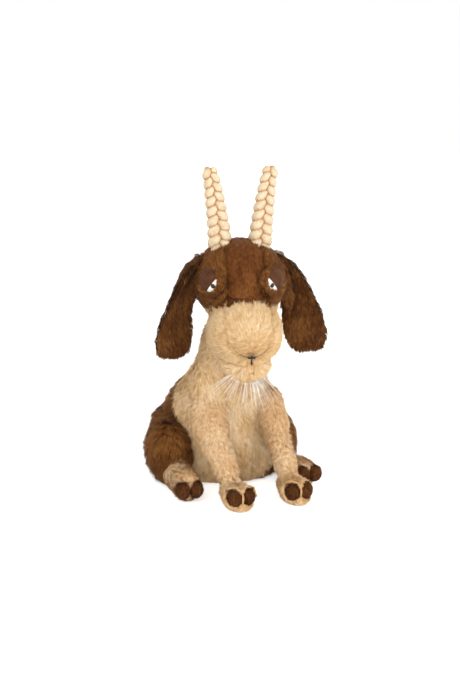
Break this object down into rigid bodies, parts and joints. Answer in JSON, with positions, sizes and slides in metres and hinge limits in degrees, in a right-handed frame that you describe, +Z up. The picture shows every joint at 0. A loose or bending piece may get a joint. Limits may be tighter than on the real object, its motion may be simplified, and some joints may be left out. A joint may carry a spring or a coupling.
{
  "type": "seated plush goat",
  "caption": "Seated soft toy goat in brown and cream plush with hanging ears, plaited suedette horns, a white beard and cloven hooves.",
  "frame": {"origin": "on the flat seat panel, below the neck, on the surface the toy sits on", "axes": "+Z up, the goat faces -Y, its left side is +X"},
  "size_m": [0.1792, 0.213, 0.318],
  "materials": {
    "cream_long_plush": "long directional pile",
    "cream_short_plush": "short curly pile",
    "brown_plush": "long directional pile",
    "dark_brown_plush": "long directional pile",
    "hoof_plush": "short clipped pile",
    "cream_suedette": "short napped suedette",
    "brown_suedette": "short napped suedette",
    "white_plastic": "polished",
    "black_bead": "polished",
    "black_thread": "matt embroidery thread",
    "white_fibre": "long fine fibre",
    "polyester_filling": "loose fibre",
    "pellet_bag_cotton": "plain weave"
  },
  "bodies": {
    "trunk": {"neck": "cream_long_plush", "pellet_bag": "pellet_bag_cotton", "seat_panel": "brown_plush", "torso_back": "brown_plush", "torso_front": "cream_long_plush", "torso_stuffing": "polyester_filling"},
    "head": {"beard": "white_fibre", "chin": "cream_long_plush", "eye_white_left": "white_plastic", "eye_white_right": "white_plastic", "eyelid_left": "brown_suedette", "eyelid_right": "brown_suedette", "head_gusset": "brown_plush", "head_side_left": "brown_plush", "head_side_right": "brown_plush", "head_stuffing": "polyester_filling", "horn_left_strand_1": "cream_suedette", "horn_left_strand_2": "cream_suedette", "horn_left_strand_3": "cream_suedette", "horn_right_strand_1": "cream_suedette", "horn_right_strand_2": "cream_suedette", "horn_right_strand_3": "cream_suedette", "lip_stitch": "black_thread", "muzzle_side_left": "cream_long_plush", "muzzle_side_right": "cream_long_plush", "muzzle_stuffing": "polyester_filling", "nose_bridge": "cream_long_plush", "nose_stitch": "black_thread", "pupil_left": "black_bead", "pupil_right": "black_bead"},
    "ear_right": {"ear_right": "dark_brown_plush"},
    "ear_left": {"ear_left": "dark_brown_plush"},
    "tail": {"tail": "brown_plush"},
    "front_leg_right": {"forearm_right": "cream_short_plush", "front_foot_right": "cream_short_plush", "front_hoof_right_inner": "hoof_plush", "front_hoof_right_outer": "hoof_plush", "upper_arm_right": "cream_short_plush"},
    "hind_leg_right": {"hind_foot_right": "cream_short_plush", "hind_hoof_right_inner": "hoof_plush", "hind_hoof_right_outer": "hoof_plush", "thigh_right": "brown_plush"},
    "front_leg_left": {"forearm_left": "cream_short_plush", "front_foot_left": "cream_short_plush", "front_hoof_left_inner": "hoof_plush", "front_hoof_left_outer": "hoof_plush", "upper_arm_left": "cream_short_plush"},
    "hind_leg_left": {"hind_foot_left": "cream_short_plush", "hind_hoof_left_inner": "hoof_plush", "hind_hoof_left_outer": "hoof_plush", "thigh_left": "brown_plush"}
  },
  "joints": [
    {"name": "head_turn", "type": "hinge", "parent": "trunk", "child": "head", "pos_m": [0, -0.015, 0.15], "axis": [0, 0, 1], "range_deg": [-15, 20], "stiffness_Nm_per_rad": 0.25},
    {"name": "ear_right_swing", "type": "hinge", "parent": "head", "child": "ear_right", "pos_m": [-0.03396, -0.01409, 0.237], "axis": [0.1736, 0.9848, 0], "range_deg": [0, 60]},
    {"name": "ear_left_swing", "type": "hinge", "parent": "head", "child": "ear_left", "pos_m": [0.04108, -0.02732, 0.237], "axis": [-0.1736, -0.9848, 0], "range_deg": [0, 60]},
    {"name": "shoulder_right", "type": "hinge", "parent": "trunk", "child": "front_leg_right", "pos_m": [-0.0355, -0.034, 0.082], "axis": [-1, 0, 0], "range_deg": [0, 40]},
    {"name": "shoulder_left", "type": "hinge", "parent": "trunk", "child": "front_leg_left", "pos_m": [0.0355, -0.034, 0.082], "axis": [-1, 0, 0], "range_deg": [0, 40]},
    {"name": "hip_right", "type": "hinge", "parent": "trunk", "child": "hind_leg_right", "pos_m": [-0.066, -0.004, 0.0324], "axis": [-1, 0, 0], "range_deg": [0, 20]},
    {"name": "hip_left", "type": "hinge", "parent": "trunk", "child": "hind_leg_left", "pos_m": [0.057, -0.004, 0.0324], "axis": [-1, 0, 0], "range_deg": [0, 8]},
    {"name": "tail_lift", "type": "hinge", "parent": "trunk", "child": "tail", "pos_m": [0, 0.078, 0.06656], "axis": [1, 0, 0], "range_deg": [0, 50]}
  ]
}
